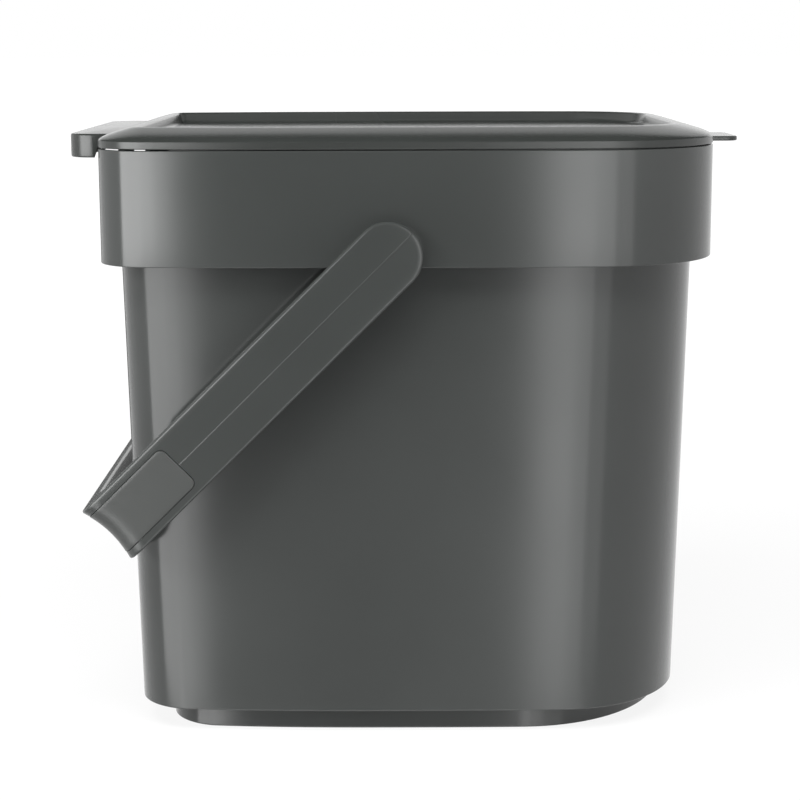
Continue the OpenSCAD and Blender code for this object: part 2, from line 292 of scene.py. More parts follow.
def slab(name, plan_at, z0, z1, edge, steps=4):
    """A plate between two heights with rounded edges. plan_at(t) is its outline, t in."""
    turn = np.radians(np.linspace(0, 90, steps + 1))
    levels = [(edge * (1 - math.sin(a)), z0 + edge * (1 - math.cos(a))) for a in turn]
    levels += [(edge * (1 - math.cos(a)), z1 - edge * (1 - math.sin(a))) for a in turn]
    rings = []
    for t, z in levels:
        plan = plan_at(t)
        rings.append(np.column_stack([plan, np.full(len(plan), z)]))
    points, faces = skin(rings)
    return add_mesh(name, points, faces)


def block(name, low, high, edge=0.3):
    """A small moulded block with rounded edges."""
    def plan_at(t):
        (x0, y0), (x1, y1) = (low[0] + t, low[1] + t), (high[0] - t, high[1] - t)
        return np.array([(x0, y0), (x1, y0), (x1, y1), (x0, y1)])
    return slab(name, plan_at, low[2], high[2], edge, steps=3)


def baked(obj):
    """Replaces the object's mesh with what its modifiers make of it."""
    graph = bpy.context.evaluated_depsgraph_get()
    mesh = bpy.data.meshes.new_from_object(obj.evaluated_get(graph))
    obj.modifiers.clear()
    obj.data = smoothed(mesh)
    return obj


def cut(obj, *cutters):
    """Cuts other solids out of a solid and removes them."""
    for cutter in cutters:
        tool = obj.modifiers.new("cut", "BOOLEAN")
        tool.operation = "DIFFERENCE"
        tool.solver = "EXACT"
        tool.object = cutter
    baked(obj)
    for cutter in cutters:
        bpy.data.objects.remove(cutter)
    return obj


def bevelled(obj, width, angle=40.0):
    """Rounds an object's sharp edges by a width in millimetres."""
    tool = obj.modifiers.new("edges", "BEVEL")
    tool.width = width * MM
    tool.segments = 2
    tool.limit_method = "ANGLE"
    tool.angle_limit = math.radians(angle)
    return baked(obj)


def joined(name, parts):
    """Several meshes as one piece."""
    bm = bmesh.new()
    for part in parts:
        bm.from_mesh(part.data)
    mesh = bpy.data.meshes.new(name)
    bm.to_mesh(mesh)
    bm.free()
    for part in parts:
        bpy.data.objects.remove(part)
    return placed(name, smoothed(mesh))


def finished(obj, node, body, material):
    """Dresses a piece, and puts it on its body in the place of a CAD node."""
    obj.data.materials.clear()
    obj.data.materials.append(material)
    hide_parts(node)
    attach(obj, body)
    return obj


# ---- Materials -----------------------------------------------------------------

GRAIN_SHARE = 0.5
WAVE_SHARE = 0.35
TONE_SPREAD = (0.93, 1.06)
GLOSS_SPREAD = 0.015
NOISE_RANGE = (0.2, 0.8)


def new_material(name):
    """A node material, its nodes and its links."""
    material = bpy.data.materials.new(name)
    material.use_nodes = True
    return material, material.node_tree.nodes, material.node_tree.links


def noise(nodes, links, coords, scale, detail=2.0, rough=0.5):
    node = nodes.new("ShaderNodeTexNoise")
    node.inputs["Scale"].default_value = scale
    node.inputs["Detail"].default_value = detail
    node.inputs["Roughness"].default_value = rough
    links.new(coords.outputs["Object"], node.inputs["Vector"])
    return node


def ramp(nodes, links, source, low, high, a=0.35, b=0.65):
    """Turns noise into a tone between two colours."""
    node = nodes.new("ShaderNodeValToRGB")
    node.color_ramp.elements[0].position = a
    node.color_ramp.elements[1].position = b
    node.color_ramp.elements[0].color = (*low, 1)
    node.color_ramp.elements[1].color = (*high, 1)
    links.new(source.outputs["Fac"], node.inputs["Fac"])
    return node


def spread(nodes, links, source, low, high):
    """Turns noise into a number between two values."""
    node = nodes.new("ShaderNodeMapRange")
    node.interpolation_type = "SMOOTHSTEP"
    node.inputs["From Min"].default_value = NOISE_RANGE[0]
    node.inputs["From Max"].default_value = NOISE_RANGE[1]
    node.inputs["To Min"].default_value = low
    node.inputs["To Max"].default_value = high
    links.new(source.outputs["Fac"], node.inputs["Value"])
    return node


def bump(nodes, links, source, strength, depth, below=None):
    """Turns noise into unevenness of the surface, on top of another bump if given."""
    node = nodes.new("ShaderNodeBump")
    node.inputs["Strength"].default_value = strength
    node.inputs["Distance"].default_value = depth
    links.new(source.outputs["Fac"], node.inputs["Height"])
    if below:
        links.new(below.outputs["Normal"], node.inputs["Normal"])
    return node


def moulded_plastic(name, tone, roughness, grain=0.35, grain_depth=0.0015, wave_depth=0.02):
    """Satin polypropylene: a fine spark-eroded grain over a faint unevenness of the moulding."""
    material, nodes, links = new_material(name)
    shader = nodes["Principled BSDF"]
    coords = nodes.new("ShaderNodeTexCoord")
    cloud = noise(nodes, links, coords, scale=9.0, detail=4.0)
    low, high = [tuple(c * f for c in tone) for f in TONE_SPREAD]
    tint = ramp(nodes, links, cloud, low, high)
    links.new(tint.outputs["Color"], shader.inputs["Base Color"])
    handling = noise(nodes, links, coords, scale=14.0, detail=1.0)
    gloss = spread(nodes, links, handling, roughness - GLOSS_SPREAD, roughness + GLOSS_SPREAD)
    links.new(gloss.outputs["Result"], shader.inputs["Roughness"])
    swell = noise(nodes, links, coords, scale=24.0, detail=1.0)
    wave = bump(nodes, links, swell, WAVE_SHARE, wave_depth * MM)
    fine = noise(nodes, links, coords, scale=1 / (grain * MM), detail=2.0, rough=0.6)
    skin_grain = bump(nodes, links, fine, GRAIN_SHARE, grain_depth * MM, below=wave)
    links.new(skin_grain.outputs["Normal"], shader.inputs["Normal"])
    shader.inputs["IOR"].default_value = 1.49
    return material


def drawn_steel(name):
    """Stainless rod with fine marks along its length."""
    material, nodes, links = new_material(name)
    shader = nodes["Principled BSDF"]
    coords = nodes.new("ShaderNodeTexCoord")
    stretch = nodes.new("ShaderNodeMapping")
    stretch.inputs["Scale"].default_value = (1.0, 0.02, 1.0)
    links.new(coords.outputs["Object"], stretch.inputs["Vector"])
    marks = nodes.new("ShaderNodeTexNoise")
    marks.inputs["Scale"].default_value = 3000.0
    links.new(stretch.outputs["Vector"], marks.inputs["Vector"])
    tint = ramp(nodes, links, marks, (0.50, 0.50, 0.52), (0.66, 0.66, 0.68))
    gloss = spread(nodes, links, marks, 0.24, 0.38)
    links.new(tint.outputs["Color"], shader.inputs["Base Color"])
    links.new(gloss.outputs["Result"], shader.inputs["Roughness"])
    shader.inputs["Metallic"].default_value = 1.0
    return material


SHELL_TONE = (0.053, 0.057, 0.055)
LID_TONE = (0.033, 0.036, 0.034)
HANDLE_TONE = (0.046, 0.050, 0.048)
GRIP_TONE = (0.050, 0.053, 0.051)
bucket_plastic = moulded_plastic("bucket_plastic", SHELL_TONE, 0.16)
collar_plastic = moulded_plastic("collar_plastic", SHELL_TONE, 0.16)
lid_plastic = moulded_plastic("lid_plastic", LID_TONE, 0.26)
handle_plastic = moulded_plastic("handle_plastic", HANDLE_TONE, 0.24)
grip_soft = moulded_plastic("grip_soft", GRIP_TONE, 0.34, grain=0.4, grain_depth=0.02)
pin_steel = drawn_steel("pin_steel")


# ---- Bucket ----------------------------------------------------------------------

def tub_shell():
    """The tub: ring under the foot, foot, tapered wall, flange and the inside."""
    floor_z = FOOT_RECESS + BUCKET_WALL
    under = TUB_TOP - FLANGE_T
    return loft("tub_shell", [
        (foot_at(FOOT_RING + FOOT_RECESS, FOOT_RECESS), 0),
        (foot_at(FOOT_RING + FOOT_RECESS / 2, FOOT_RECESS), 0.5),
        (foot_at(FOOT_RING, 0), 0.5),
        (foot_at(0, 0), 0.7),
        (foot_at(0, FOOT_H), 0.5),
        (tub_at(0, FOOT_H), 0.6),
        (tub_at(0, under), 0.8),
        (tub_at(-FLANGE_W, under), 0.5),
        (tub_at(-FLANGE_W, TUB_TOP), 0.5),
        (tub_at(BUCKET_WALL, TUB_TOP), 0.8),
        (tub_at(BUCKET_WALL, FOOT_H + BUCKET_WALL), 2.5),
        (foot_at(BUCKET_WALL, FOOT_H + BUCKET_WALL), 1.5),
        (foot_at(BUCKET_WALL, floor_z), 2.5),
        (foot_at(BUCKET_WALL + 6, floor_z), 0),
    ])


def mirrored(profile, side):
    """A turned profile on one side of the part: 1 is far and -1 is near."""
    return [(r, side * y) for r, y in profile]


def hub(side):
    """Round boss that carries one pivot stud of the handle."""
    root = HALF_W - wall_in(pivot_z) - BUCKET_WALL / 2
    face = bucket_high.y
    bore = STUD_R + RUN_GAP
    floor = ARM_IN - STUD_L - SIDE_GAP
    edge = 0.5
    return lathe_y("hub", pivot_x, pivot_z, mirrored([
        (HUB_R, root), (HUB_R, face - edge), (HUB_R - edge, face), (bore + edge, face),
        (bore, face - edge), (bore, floor),
    ], side))


def gate_mark(x, y, z, r=3.2, depth=0.5):
    """Shallow dimple with a raised dot, where the plastic entered the mould."""
    turn = np.radians(np.linspace(0, 360, 40, endpoint=False))
    levels = [(r, 0.0), (r - 0.4, -0.04), (r - 1.2, -0.08),
              (0.9, -0.08), (0.7, -depth), (0.3, -depth)]
    rings = [np.column_stack([x + q * np.cos(turn), y + q * np.sin(turn), np.full(40, z + h)])
             for q, h in levels]
    points, faces = skin(rings)
    return add_mesh("gate", points, faces, shift=(0, 0, 0))


bucket = joined("bucket_shell", [
    tub_shell(), hub(1), hub(-1), gate_mark(0, 0, FOOT_RECESS + 0.02),
])
finished(bucket, "bucket", "base", bucket_plastic)


# ---- Collar ----------------------------------------------------------------------

def collar_shell():
    """The collar: outer skirt, shelf over the tub's flange, and lip inside it."""
    return loft("collar_shell", [
        (rim_at(0, COLLAR_Z), 0.45),
        (rim_at(0, RIM_Z), 0.4),
        (rim_at(COLLAR_WALL, RIM_Z), 0.6),
        (rim_at(COLLAR_WALL, SHELF_Z), 0.8),
        (tub_at(BUCKET_WALL + SIDE_GAP + LIP_T, SHELF_Z), 0.8),
        (tub_at(BUCKET_WALL + SIDE_GAP + LIP_T, TUB_TOP - LIP_H), 0.5),
        (tub_at(BUCKET_WALL + SIDE_GAP, TUB_TOP - LIP_H), 0.5),
        (tub_at(BUCKET_WALL + SIDE_GAP, SHELF_Z - SHELF_T), 0),
        (rim_at(COLLAR_WALL, SHELF_Z - SHELF_T), 0.8),
        (rim_at(COLLAR_WALL, COLLAR_Z), 0.5),
    ], closed=True)


def hub_notch(side):
    """Cutter for the opening that lets the collar drop over a bucket hub."""
    r = HUB_R + SIDE_GAP
    arch = corner(pivot_x, pivot_z, r, 0, steps=32, sweep=180)
    plan = np.vstack([arch, [(pivot_x - r, COLLAR_Z - 1), (pivot_x + r, COLLAR_Z - 1)]])
    ends = [side * (HALF_W - COLLAR_WALL - 1), side * (HALF_W + 1)]
    rings = [np.column_stack([plan[:, 0], np.full(len(plan), y), plan[:, 1]]) for y in ends]
    points, faces = skin(rings)
    return add_mesh("notch", points, faces, shift=(0, 0, 0))


def light_slot(side):
    """Cutter for one of the two slots in the collar's rear edge, beside the hinge."""
    near = side * (MID_KNUCKLE + 2)
    far = near + side * SLOT_L
    low = (-HALF_L - 1, min(near, far), RIM_Z - SLOT_DEPTH)
    high = (-HALF_L + COLLAR_WALL + 1, max(near, far), RIM_Z + 1)
    return block("slot", low, high, edge=0.01)


def knuckle(y0, y1):
    """Round hinge knuckle with softened ends."""
    edge = 0.3
    return lathe_y("knuckle", hinge_x, hinge_z, [
        (KNUCKLE_R - edge, y0), (KNUCKLE_R, y0 + edge),
        (KNUCKLE_R, y1 - edge), (KNUCKLE_R - edge, y1),
    ])


def mid_web():
    """Web that carries the middle knuckle on the collar."""
    low = (hinge_x - MID_X, -MID_KNUCKLE, hinge_z - WEB_DROP)
    high = (-HALF_L + COLLAR_WALL / 2, MID_KNUCKLE, WEB_TOP)
    return block("web", low, high)


collar = joined("collar_ring", [
    cut(collar_shell(), hub_notch(1), hub_notch(-1), light_slot(1), light_slot(-1)),
    knuckle(-MID_KNUCKLE, MID_KNUCKLE), mid_web(),
])
finished(collar, "rim_collar", "base", collar_plastic)


# ---- Lid ---------------------------------------------------------------------------

SLOPE_START = math.tan(math.radians(62))
SLOPE_END = math.tan(math.radians(13))
PANEL_SAG = 1.2


def border(inset, rise, start, run, steps=14):
    """Curve of the lid's border: steep over the edge band and gentle where it meets the crest."""
    knee = (rise - run * SLOPE_END) / (SLOPE_START - SLOPE_END)
    curve = []
    for u in np.linspace(0, 1, steps + 1):
        t = inset + 2 * u * (1 - u) * knee + u * u * run
        z = start + 2 * u * (1 - u) * knee * SLOPE_START + u * u * rise
        curve.append((rim_at(t, z), 0))
    return curve


def sagging(edge, steps=12):
    """Rings from a panel's edge towards its middle, which lies a little lower."""
    return [edge * [f, f, 1] - [0, 0, PANEL_SAG * (1 - f * f)]
            for f in np.linspace(1, 0.04, steps)[1:]]


def lid_shell():
    """The lid: border up to its crest, recessed panel, and the same below a wall's thickness."""
    rise = CREST_Z - BAND_Z
    wall_top, wall_foot, floor_edge = 2.4, 3.6, 5.4
    under = border(LID_WALL, rise - LID_WALL, BAND_Z, CREST_INSET - LID_WALL)
    top = border(0, rise, BAND_Z, CREST_INSET)
    profile = soften([
        (rim_at(CREST_INSET + wall_foot - LID_WALL + 1, PANEL_Z - LID_WALL), 0),
        *under[::-1],
        (rim_at(LID_WALL, LID_Z), 0.4),
        (rim_at(0, LID_Z), 0.5),
        *top,
        (rim_at(CREST_INSET + wall_top, CREST_Z), 0.9),
        (rim_at(CREST_INSET + wall_foot, PANEL_Z), 1.6),
        (rim_at(CREST_INSET + floor_edge, PANEL_Z), 0),
    ])
    rings = [ring(p) for p in profile]
    points, faces = skin([*sagging(rings[0])[::-1], *rings, *sagging(rings[-1])])
    return add_mesh("lid_shell", points, faces)


def locating_rib():
    """Rib under the lid, open at the hinge end."""
    outer = COLLAR_WALL + RIB_GAP
    low, high = RIM_Z - RIB_DEPTH, BAND_Z + 1.0
    edge = 0.3
    levels = [(outer, high), (outer, low + edge), (outer + edge, low),
              (outer + RIB_T - edge, low), (outer + RIB_T, low + edge), (outer + RIB_T, high)]
    sections = np.array([ring(rim_at(t, z)) for t, z in levels])
    count = sections.shape[1]
    start = count - SIDE_STEPS - CORNER_STEPS
    order = [(start + i) % count for i in range(count)]
    keep = [i for i in order if sections[0, i, 0] > -HALF_L + RIB_CUT]
    points, faces = skin([sections[:, i] for i in keep])
    return add_mesh("rib", points, faces)


def thumb_tab():
    """The plate at the front that a thumb lifts."""
    def plan_at(t):
        x0, x1 = HALF_L - LID_WALL / 2 + t, lid_high.x - MID_X - t
        w, r = TAB_W / 2 - t, TAB_R - t
        return np.vstack([corner(x1 - r, -w + r, r, 270, steps=10),
                          corner(x1 - r, w - r, r, 0, steps=10), [(x0, w), (x0, -w)]])
    return slab("tab", plan_at, TAB_TOP - TAB_T, TAB_TOP, 0.6)


def cover_plan(t):
    """Outline of the hinge cover, a distance t in from its face."""
    x, w, r = COVER_X + t, COVER_W / 2 - t, COVER_R - t
    front = -HALF_L + CREST_INSET / 6
    return np.vstack([[(front, -w), (front, w)],
                      corner(x + r, w - r, r, 90), corner(x + r, -w + r, r, 180)])


def wedge():
    """Cutter for the slanted front of the hinge cover's ends."""
    low, top = COVER_TOP - COVER_H - 1, COVER_TOP - COVER_WALL
    side = np.array([(-HALF_L - COVER_SLANT, low), (-HALF_L - SIDE_GAP, top),
                     (-HALF_L + CREST_INSET, top), (-HALF_L + CREST_INSET, low)])
    ends = [-COVER_W / 2 - 1, COVER_W / 2 + 1]
    points, faces = skin([np.column_stack([side[:, 0], np.full(4, y), side[:, 1]]) for y in ends])
    return add_mesh("wedge", points, faces)


def hinge_cover():
    """The hollow cover over the hinge, with slanted ends."""
    shell = slab("cover", cover_plan, COVER_TOP - COVER_H, COVER_TOP, 0.8)
    hollow = slab("hollow", lambda t: cover_plan(COVER_WALL + t),
                  COVER_TOP - COVER_H - 1, COVER_TOP - COVER_WALL, 0.3)
    return bevelled(cut(shell, hollow, wedge()), 0.25)


def side_knuckle(side):
    """One of the lid's two knuckles and the cheek that holds it."""
    ends = sorted((side * SIDE_FROM, side * SIDE_TO))
    low = (hinge_x - MID_X - KNUCKLE_R, ends[0], hinge_z)
    high = (hinge_x - MID_X + KNUCKLE_R, ends[1], COVER_TOP - COVER_WALL / 2)
    return [knuckle(*ends), block("cheek", low, high)]


def rest_pad(side):
    """Small foot under the lid's front edge, which rests on the collar."""
    half, deep, sunk = 3, 1.6, 0.3
    y = side * FRONT_R / 2
    x = HALF_L - COLLAR_WALL + SIDE_GAP
    return block("rest", (x, y - half, RIM_Z), (x + deep, y + half, LID_Z + sunk), edge=0.15)


lid = joined("lid_shell_and_cover", [
    lid_shell(), locating_rib(), thumb_tab(), hinge_cover(),
    *side_knuckle(1), *side_knuckle(-1), rest_pad(1), rest_pad(-1),
])
finished(lid, "lid", "lid", lid_plastic)


# ---- Handle --------------------------------------------------------------------------
# Drawn upright over its pivots, as across, outwards and up, then laid back to its rest.

WALL_REACH = ((HALF_L - COLLAR_STEP - SLOPE * (COLLAR_Z - pivot_z) + (pivot_x - MID_X))
              / (math.cos(math.radians(REST_ANGLE)) + SLOPE * math.sin(math.radians(REST_ANGLE))))
REACH = WALL_REACH + GRIP_OUT
BAR_IN = REACH - GRIP_T
PAD_START = REACH - PAD_L
PAD_PROUD = 0.12
PAD_GROOVE = 0.22
TROUGH_R = (ARM_R ** 2 + TROUGH_D ** 2) / (2 * TROUGH_D)
GUSSET = np.array([ARM_IN - GUSSET_R, BAR_IN - GUSSET_R])
FACE_SUNK = 0.16
FACE_Y = ARM_OUT - FACE_SUNK
ARM_EDGE_R = 1.2
BAR_EDGE_R = 1.2
FACE_DRAFT = 0.1
END_TURNS = 14
TURN_STEPS = 26


def trough(n):
    """How far the grip's outer face lies below its highest line, at a distance n across."""
    return TROUGH_D - TROUGH_R + np.sqrt(TROUGH_R ** 2 - np.minimum(np.abs(n), ARM_R) ** 2)


def outer_turn(n, angle):
    """Where a ray from the gusset's centre leaves the bail, at an angle above the horizontal."""
    e = np.array([math.cos(angle), math.sin(angle)])
    top = REACH - trough(n)
    to_side = (FACE_Y - GUSSET[0]) / max(e[0], 1e-9)
    if GUSSET[1] + to_side * e[1] <= top - TURN_R:
        return GUSSET + to_side * e
    to_top = (top - GUSSET[1]) / max(e[1], 1e-9)
    if GUSSET[0] + to_top * e[0] <= FACE_Y - TURN_R:
        return GUSSET + to_top * e
    away = np.array([FACE_Y - TURN_R, top - TURN_R]) - GUSSET
    b = away @ e
    return GUSSET + (b + math.sqrt(b * b - away @ away + TURN_R ** 2)) * e


def stations():
    """Places along half of the bail: ('arm', s), ('turn', angle) or ('bar', y)."""
    places = [("arm", s) for s in np.linspace(0, GUSSET[1], 15)]
    places += [("turn", a) for a in np.linspace(0, math.pi / 2, TURN_STEPS + 1)[1:]]
    places += [("bar", y) for y in np.linspace(GUSSET[0], 0, 7)[1:]]
    return places


def faces_at(place, n):
    """The bail's outer and inner points (outwards, up) at a station, a distance n across."""
    kind, value = place
    if kind == "arm":
        return np.array([FACE_Y, value]), np.array([ARM_IN, value])
    if kind == "turn":
        e = np.array([math.cos(value), math.sin(value)])
        return outer_turn(n, value), GUSSET + GUSSET_R * e
    return np.array([value, REACH - trough(n)]), np.array([value, BAR_IN])


def inside(place, n, depth):
    """A point of the bail, a depth below its outer face."""
    outer, inner = faces_at(place, n)
    way = inner - outer
    return outer + way * depth / np.linalg.norm(way)


def section(outer_r, inner_r, thick, fall):
    """Half outline of the bail's section from its outer middle to its inner middle: (n, depth)."""
    turn = np.radians(np.linspace(0, 90, 7))
    reach = ARM_R - outer_r
    outer = [(reach + outer_r * math.sin(a), fall + outer_r * (1 - math.cos(a))) for a in turn]
    inner = [(ARM_R - inner_r * (1 - math.cos(a)), thick - inner_r * (1 - math.sin(a)))
             for a in turn]
    flat = [(n, fall * n / reach) for n in np.linspace(0, reach, 9)[:-1]]
    back = np.linspace(ARM_R - inner_r, 0, 5)[1:]
    return flat + outer + inner + [(n, thick) for n in back]


def full_loop(place):
    """The bail's whole section at a station: (across, outwards, up)."""
    outer, inner = faces_at(place, 0.0)
    thick = np.linalg.norm(inner - outer)
    blend = {"arm": 0.0, "turn": place[1] / (math.pi / 2), "bar": 1.0}[place[0]]
    outer_r = ARM_EDGE_R + (BAR_EDGE_R - ARM_EDGE_R) * blend
    half = section(outer_r, 0.7 + 0.6 * blend, thick, FACE_DRAFT * (1 - blend))
    loop = half + [(-n, d) for n, d in half[-2:0:-1]]
    return [(n, *inside_clear(place, n, d, thick)) for n, d in loop]


def inside_clear(place, n, depth, thick):
    """A point of the bail whose depth follows the local thickness in the inner half."""
    outer, inner = faces_at(place, n)
    span = np.linalg.norm(inner - outer)
    return inside(place, n, depth * span / thick if depth > thick / 2 else depth)


def laid_back(points):
    """Turns upright points (across, outwards, up) to the handle's place at rest."""
    points = np.asarray(points, float)
    a = math.radians(90 + REST_ANGLE)
    x = points[:, 0] * math.cos(a) - points[:, 2] * math.sin(a)
    z = points[:, 0] * math.sin(a) + points[:, 2] * math.cos(a)
    return np.column_stack([x + pivot_x, points[:, 1], z + pivot_z])


def round_end(loop, turn):
    """The arm's first section swung about the pivot, to close its round end."""
    swung = []
    for n, y, _ in loop:
        swung.append((n * math.cos(turn), y, -abs(n) * math.sin(turn)))
    return swung


def bail():
    """Both arms, the corners and the grip bar as one swept body."""
    half = [full_loop(place) for place in stations()]
    ends = [round_end(half[0], t) for t in np.linspace(math.pi / 2, 0, END_TURNS + 1)[:-1]]
    near = ends + half
    far = [[(n, -y, s) for n, y, s in loop] for loop in near[-2::-1]]
    points, faces = skin([np.array(loop) for loop in near + far], capped=False)
    return add_mesh("bail", laid_back(points), faces, shift=(0, 0, 0))


def bucket_space():
    """Cutter: the space that the bucket's rear end takes behind the stored grip."""
    top = pivot_z - (BAR_IN - GUSSET_R) * math.sin(math.radians(REST_ANGLE)) + 2 * ARM_R
    outline = tub_at(-SIDE_GAP, top)
    low = outline.copy()
    low[-1] = 0
    points, faces = skin([ring(low), ring(outline)])
    return add_mesh("bucket_space", points, faces)


def stud(side):
    """The stud inside one arm, which turns in the bucket's hub."""
    edge = 0.6
    tip = ARM_IN - STUD_L
    return lathe_y("stud", pivot_x, pivot_z, mirrored([
        (STUD_R - edge, tip), (STUD_R, tip + edge), (STUD_R, ARM_IN + ARM_T / 2),
    ], side))


def parting_ridge(side):
    """Fine raised line along the middle of an arm's outer face, over its round end."""
    half, rise, sunk = 0.22, 0.1, 0.06
    wide = half * (1 + sunk / rise)
    bends = np.radians(np.linspace(65, 0, 6))
    line = [(ARM_EDGE_R * math.sin(a) + ARM_R - ARM_EDGE_R, ARM_EDGE_R * (1 - math.cos(a)))
            for a in bends]
    line = [(-s, depth) for s, depth in line] + [(PAD_START - 0.3, 0.0)]
    rings = []
    for s, depth in line:
        y = FACE_Y - depth
        rings.append(np.array([(wide, y - sunk, s), (0, y + rise, s), (-wide, y - sunk, s)]))
    points, faces = skin(rings)
    points = points * [1, side, 1]
    return add_mesh("ridge", laid_back(points), faces, sharp=math.radians(5), shift=(0, 0, 0))


def pad_stations(grown):
    """Places along half of the pad with its half width there, rounded at its inner end."""
    start, r, wide = PAD_START - grown, PAD_R + grown, PAD_HALF + grown
    places = []
    for a in np.linspace(0, math.pi / 2, 9):
        places.append((("arm", start + r * (1 - math.cos(a))), wide - r * (1 - math.sin(a))))
    places += [(("arm", s), wide) for s in np.linspace(start + r, GUSSET[1], 4)[1:]]
    places += [(place, wide) for place in stations() if place[0] != "arm"]
    return places


def pad_loop(place, half, edge, proud, thick):
    """Section of the pad: its top edges are rounded and lie just proud of the bail."""
    turn = np.radians(np.linspace(0, 90, 4))
    rim = [(half - edge * (1 - math.sin(a)), edge * (1 - math.cos(a)) - proud) for a in turn]
    flat = [(n, -proud) for n in np.linspace(0, half - edge, 9)[:-1]]
    side = flat + rim + [(half, thick), (half / 2, thick), (0.0, thick)]
    loop = side + [(-n, d) for n, d in side[-2:0:-1]]
    return [(n, *inside(place, n, d)) for n, d in loop]


def pad_body(name, grown, edge, proud, thick):
    """The band round the bail that the pad fills, grown all round by a little."""
    half = [pad_loop(place, width, edge, proud, thick) for place, width in pad_stations(grown)]
    cap = [(n, min(FACE_Y + proud - edge, y), s - 0.02) for n, y, s in half[0]]
    near = [cap] + half
    far = [[(n, -y, s) for n, y, s in loop] for loop in near[-2::-1]]
    points, faces = skin([np.array(loop) for loop in near + far])
    return add_mesh(name, laid_back(points), faces, shift=(0, 0, 0))


def pad_pocket():
    """Cutter: the band of the bail that holds the pad, with a fine groove around it."""
    return pad_body("pocket", PAD_GROOVE, 0.02, 0.5, PAD_T + RUN_GAP)


handle = joined("handle_bail", [
    cut(bail(), bucket_space(), pad_pocket()), stud(1), stud(-1),
    parting_ridge(1), parting_ridge(-1),
])
finished(handle, "handle", "handle", handle_plastic)


# ---- Grip pad --------------------------------------------------------------------------

grip = pad_body("grip_pad_shell", 0, 0.35, PAD_PROUD, PAD_T)
finished(grip, "grip_pad", "handle", grip_soft)

pin = frame["nodes"]["hinge_pin"]
pin.data.materials.clear()
pin.data.materials.append(pin_steel)


# ---- Studio ------------------------------------------------------------------------------

def seen_or_reflected(nodes, links):
    """1 for what the camera sees, straight or in gloss and glass, and 0 for other light."""
    path = nodes.new("ShaderNodeLightPath")
    seen = path.outputs["Is Camera Ray"]
    for kind in ("Is Glossy Ray", "Is Transmission Ray"):
        either = nodes.new("ShaderNodeMath")
        either.operation = "MAXIMUM"
        links.new(seen, either.inputs[0])
        links.new(path.outputs[kind], either.inputs[1])
        seen = either.outputs["Value"]
    return seen


def studio_floor(glow, near_share, near_r, far_r):
    """A white floor that keeps a faint shadow of the object, and none far from it."""
    material, nodes, links = new_material("pale_floor")
    shader = nodes["Principled BSDF"]
    shader.inputs["Base Color"].default_value = (0.6, 0.6, 0.6, 1)
    shader.inputs["Roughness"].default_value = 0.9
    shader.inputs["Specular IOR Level"].default_value = 0.0
    light = nodes.new("ShaderNodeEmission")
    light.inputs["Color"].default_value = (1, 1, 1, 1)
    light.inputs["Strength"].default_value = glow
    coords = nodes.new("ShaderNodeTexCoord")
    away = nodes.new("ShaderNodeVectorMath")
    away.operation = "LENGTH"
    links.new(coords.outputs["Object"], away.inputs[0])
    share = nodes.new("ShaderNodeMapRange")
    share.inputs["From Min"].default_value = near_r
    share.inputs["From Max"].default_value = far_r
    share.inputs["To Min"].default_value = near_share
    share.inputs["To Max"].default_value = 1.0
    links.new(away.outputs["Value"], share.inputs["Value"])
    seen = nodes.new("ShaderNodeMath")
    seen.operation = "MULTIPLY"
    links.new(seen_or_reflected(nodes, links), seen.inputs[0])
    links.new(share.outputs["Result"], seen.inputs[1])
    mix = nodes.new("ShaderNodeMixShader")
    links.new(seen.outputs["Value"], mix.inputs["Fac"])
    links.new(shader.outputs["BSDF"], mix.inputs[1])
    links.new(light.outputs["Emission"], mix.inputs[2])
    links.new(mix.outputs["Shader"], nodes["Material Output"].inputs["Surface"])
    half, z = 30.0, -0.0002
    return staged("floor", level(-half, half, -half, half, z), material)


def staged(name, corners, material):
    """A flat sheet of the studio, which isn't part of the object."""
    mesh = bpy.data.meshes.new(name)
    mesh.from_pydata(corners, [], [(0, 1, 2, 3)])
    mesh.materials.append(material)
    obj = placed(name, mesh)
    return obj


def world_light(fill):
    """A white surround for what is seen or reflected, and a dimmer fill for the rest."""
    world = bpy.data.worlds.new("surround")
    bpy.context.scene.world = world
    world.use_nodes = True
    nodes, links = world.node_tree.nodes, world.node_tree.links
    strength = nodes.new("ShaderNodeMapRange")
    strength.inputs["To Min"].default_value = fill
    strength.inputs["To Max"].default_value = 1.0
    links.new(seen_or_reflected(nodes, links), strength.inputs["Value"])
    background = nodes["Background"]
    background.inputs["Color"].default_value = (1, 1, 1, 1)
    links.new(strength.outputs["Result"], background.inputs["Strength"])


def aim(obj, target):
    """Turns a lamp towards a point."""
    way = Vector(target) - obj.location
    obj.rotation_euler = way.to_track_quat("-Z", "Y").to_euler()


def softbox(name, place, target, size, radiance, in_gloss=True):
    """A soft rectangular lamp. Its radiance is in the units of a white surround."""
    light = bpy.data.lights.new(name, "AREA")
    light.shape = "RECTANGLE"
    light.size, light.size_y = size
    light.energy = radiance * math.pi * size[0] * size[1]
    obj = placed(name, light)
    obj.location = place
    aim(obj, target)
    obj.visible_glossy = in_gloss
    return obj


def only_reflected(card):
    """Hides a card from all but glossy rays."""
    for kind in ("camera", "diffuse", "shadow", "transmission"):
        setattr(card, "visible_" + kind, False)
    return card


def bright_card(name, corners, radiance):
    """A lit panel that only reflections see. Its radiance is in the units of a white surround."""
    material, nodes, links = new_material(name)
    nodes.remove(nodes["Principled BSDF"])
    light = nodes.new("ShaderNodeEmission")
    light.inputs["Color"].default_value = (1, 1, 1, 1)
    light.inputs["Strength"].default_value = radiance
    links.new(light.outputs["Emission"], nodes["Material Output"].inputs["Surface"])
    material.cycles.emission_sampling = "NONE"
    return only_reflected(staged(name, corners, material))


